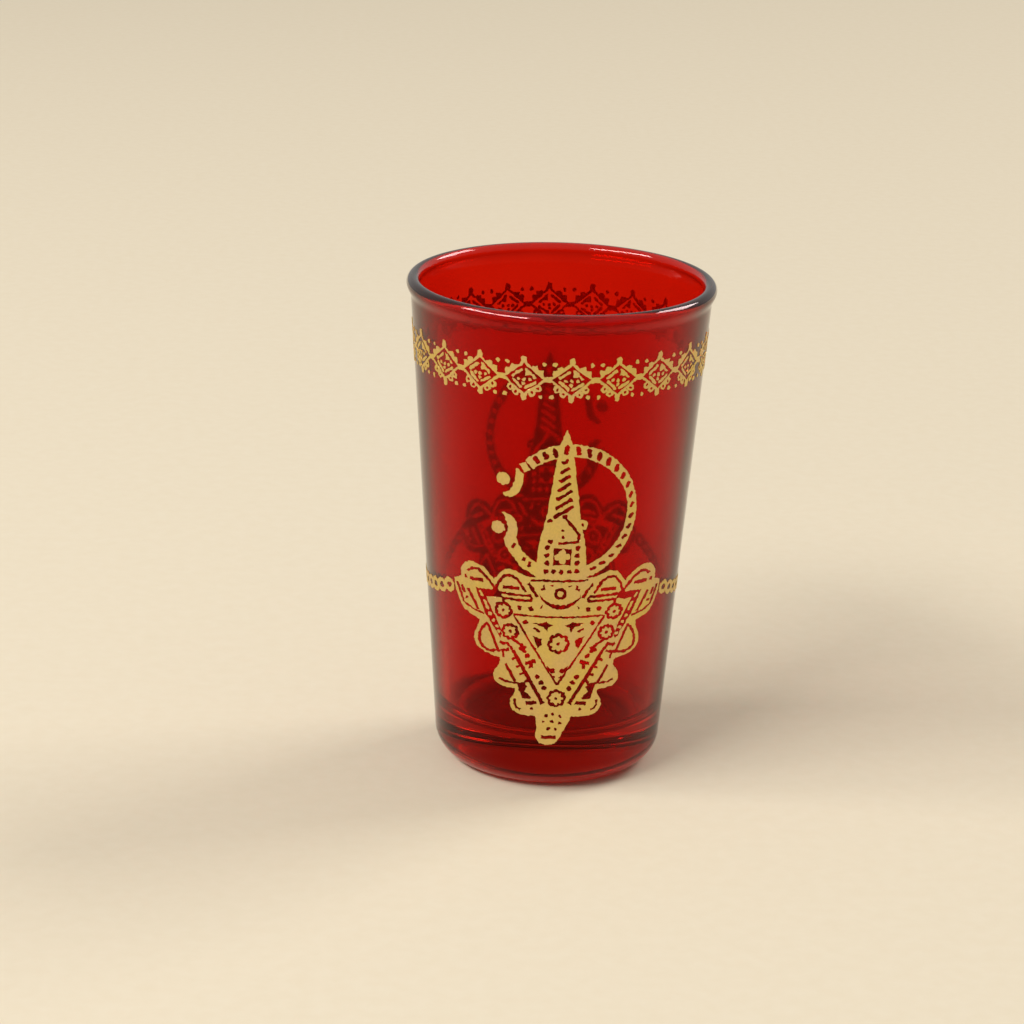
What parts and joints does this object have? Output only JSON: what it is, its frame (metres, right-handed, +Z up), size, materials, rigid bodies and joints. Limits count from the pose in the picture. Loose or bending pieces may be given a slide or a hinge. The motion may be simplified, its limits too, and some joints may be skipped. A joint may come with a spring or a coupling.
{
  "type": "tea glass",
  "caption": "Tapered red tea glass with a thick foot, a rounded lip and a gold printed border, brooch and chain ornament, for hot mint tea.",
  "frame": {"origin": "middle of the foot, on the table plane", "axes": "+Z up along the glass's axis, -Y towards the front brooch, +X to the right"},
  "size_m": [0.055, 0.055, 0.09],
  "materials": {
    "red_glass": "gloss",
    "gold_print": "satin"
  },
  "bodies": {
    "root": {"tumbler": "red_glass", "border_band": "gold_print", "border_fillings": "gold_print", "border_upper_dots": "gold_print", "border_lower_dots": "gold_print", "front_brooch_ring": "gold_print", "front_brooch_balls": "gold_print", "front_brooch_pin": "gold_print", "front_brooch_plate": "gold_print", "front_brooch_shells": "gold_print", "front_brooch_triangle": "gold_print", "front_brooch_rosettes": "gold_print", "back_brooch_ring": "gold_print", "back_brooch_balls": "gold_print", "back_brooch_pin": "gold_print", "back_brooch_plate": "gold_print", "back_brooch_shells": "gold_print", "back_brooch_triangle": "gold_print", "back_brooch_rosettes": "gold_print", "left_chain": "gold_print", "right_chain": "gold_print"}
  },
  "joints": []
}
